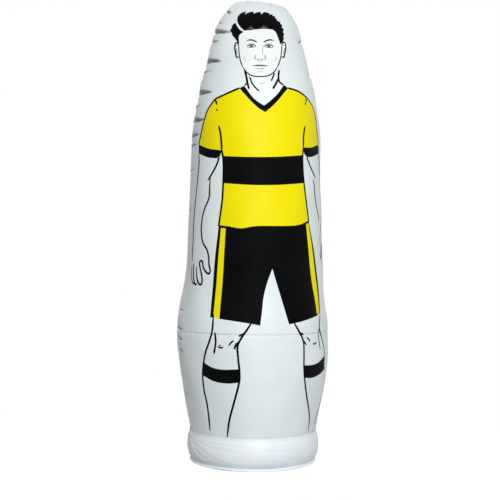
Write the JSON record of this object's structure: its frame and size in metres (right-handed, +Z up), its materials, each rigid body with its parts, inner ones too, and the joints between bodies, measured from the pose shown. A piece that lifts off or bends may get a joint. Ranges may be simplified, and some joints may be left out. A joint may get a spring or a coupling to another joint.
{
  "type": "inflatable free kick mannequin",
  "caption": "Life-size inflatable free kick mannequin with a printed player, a round ballast base, a screw air valve and a screw filling port.",
  "frame": {"origin": "on the ground, at the middle of the round base", "axes": "+Z up, the printed front faces -Y, +X towards the player's left arm"},
  "size_m": [0.578, 0.5596, 1.75],
  "materials": {
    "printed_sheet": "satin",
    "white_sheet": "satin",
    "sleeve_sheet": "satin",
    "floor_sheet": "satin",
    "weld_tape": "satin",
    "ballast": "gloss",
    "valve_plastic": "satin",
    "cap_plastic": "satin",
    "gasket_rubber": "matte"
  },
  "bodies": {
    "root": {"upper_front_panel": "printed_sheet", "upper_rear_panel": "white_sheet", "lower_front_panel": "printed_sheet", "lower_rear_panel": "white_sheet", "hip_tape_front": "weld_tape", "hip_tape_rear": "weld_tape", "chamber_divider": "weld_tape", "base_sleeve_front": "sleeve_sheet", "base_sleeve_rear": "sleeve_sheet", "base_floor": "floor_sheet", "ballast_water": "ballast", "fill_port_neck": "valve_plastic", "fill_cap_strap": "cap_plastic", "air_valve_base": "valve_plastic"},
    "fill_seal": {"fill_cap_gasket": "gasket_rubber"},
    "fill_cap": {"fill_port_cap": "cap_plastic"},
    "insert_seal": {"air_insert_gasket": "gasket_rubber"},
    "air_insert": {"air_valve_insert": "valve_plastic", "air_cap_strap": "cap_plastic"},
    "air_flap": {"air_valve_flap": "gasket_rubber"},
    "cap_seal": {"air_cap_gasket": "gasket_rubber"},
    "air_cap": {"air_valve_cap": "cap_plastic"}
  },
  "joints": [
    {"name": "fill_cap_lift", "type": "slide", "parent": "root", "child": "fill_seal", "axis": [0, 1, 0], "range_m": [0, 0.007], "deforming": ["fill_cap_strap"]},
    {"name": "fill_cap_turn", "type": "hinge", "parent": "fill_seal", "child": "fill_cap", "pos_m": [0, 0.2519, 0.06], "axis": [0, 1, 0], "range_deg": [0, 780]},
    {"name": "air_insert_lift", "type": "slide", "parent": "root", "child": "insert_seal", "axis": [0, 0.9839, -0.1787], "range_m": [0, 0.0065]},
    {"name": "air_insert_turn", "type": "hinge", "parent": "insert_seal", "child": "air_insert", "pos_m": [0, 0.25403, 0.2], "axis": [0, 0.9839, -0.1787], "range_deg": [0, 720]},
    {"name": "air_flap_open", "type": "hinge", "parent": "air_insert", "child": "air_flap", "pos_m": [0, 0.26011, 0.20886], "axis": [-1, 0, 0], "range_deg": [0, 40], "stiffness_Nm_per_rad": 0.0004},
    {"name": "air_cap_lift", "type": "slide", "parent": "air_insert", "child": "cap_seal", "axis": [0, 0.9839, -0.1787], "range_m": [0, 0.005], "deforming": ["air_cap_strap"]},
    {"name": "air_cap_turn", "type": "hinge", "parent": "cap_seal", "child": "air_cap", "pos_m": [0, 0.25403, 0.2], "axis": [0, 0.9839, -0.1787], "range_deg": [0, 540]}
  ],
  "couplings": [
    {"joint": "fill_cap_lift", "follows": "fill_cap_turn", "m_per_rad": 0.0005093},
    {"joint": "air_insert_lift", "follows": "air_insert_turn", "m_per_rad": 0.0005093},
    {"joint": "air_cap_lift", "follows": "air_cap_turn", "m_per_rad": 0.0005093}
  ]
}
